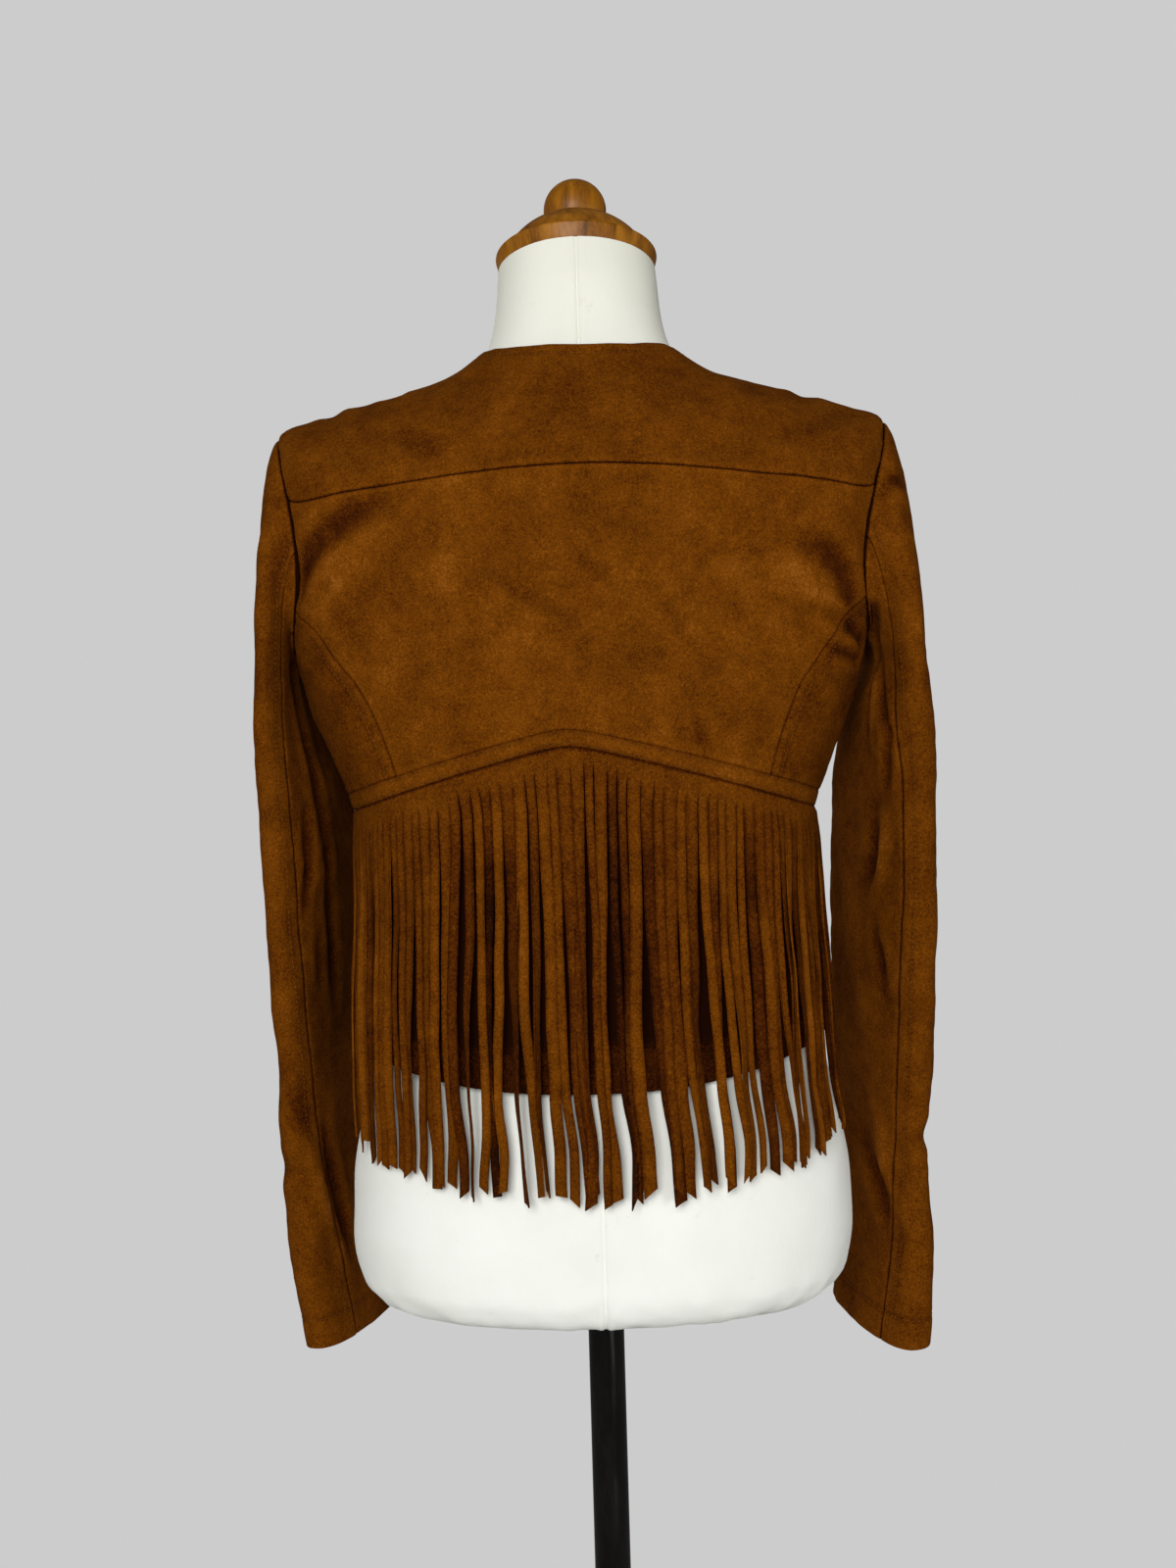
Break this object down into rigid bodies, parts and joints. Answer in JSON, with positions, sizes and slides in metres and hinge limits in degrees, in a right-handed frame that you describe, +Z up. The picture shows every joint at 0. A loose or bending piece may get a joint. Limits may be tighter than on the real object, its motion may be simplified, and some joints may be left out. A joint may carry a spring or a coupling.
{
  "type": "suede jacket on a dress form",
  "caption": "Cropped collarless suede jacket with a fringed back, hanging open on a limbless dress form with a turned wood neck cap, a pole and a round base.",
  "frame": {"origin": "centre of the underside of the base, on the floor", "axes": "+Z up along the pole, +Y towards the wearer's back (the fringed side), +X towards the wearer's left"},
  "size_m": [0.4426, 0.32, 1.5298],
  "materials": {
    "suede": "matt brushed nap",
    "form_cover": "smooth stretched cotton jersey",
    "turned_wood": "satin varnish",
    "black_enamel": "gloss"
  },
  "bodies": {
    "root": {"back_yoke": "suede", "back_centre": "suede", "back_side_L": "suede", "back_side_R": "suede", "waist_band": "suede", "back_lower": "suede", "fringe": "suede", "front_L": "suede", "front_R": "suede", "sleeve_upper_L": "suede", "sleeve_under_L": "suede", "sleeve_upper_R": "suede", "sleeve_under_R": "suede", "form_torso": "form_cover", "neck_cap": "turned_wood", "finial": "turned_wood", "pole": "black_enamel", "base": "black_enamel"}
  },
  "joints": []
}
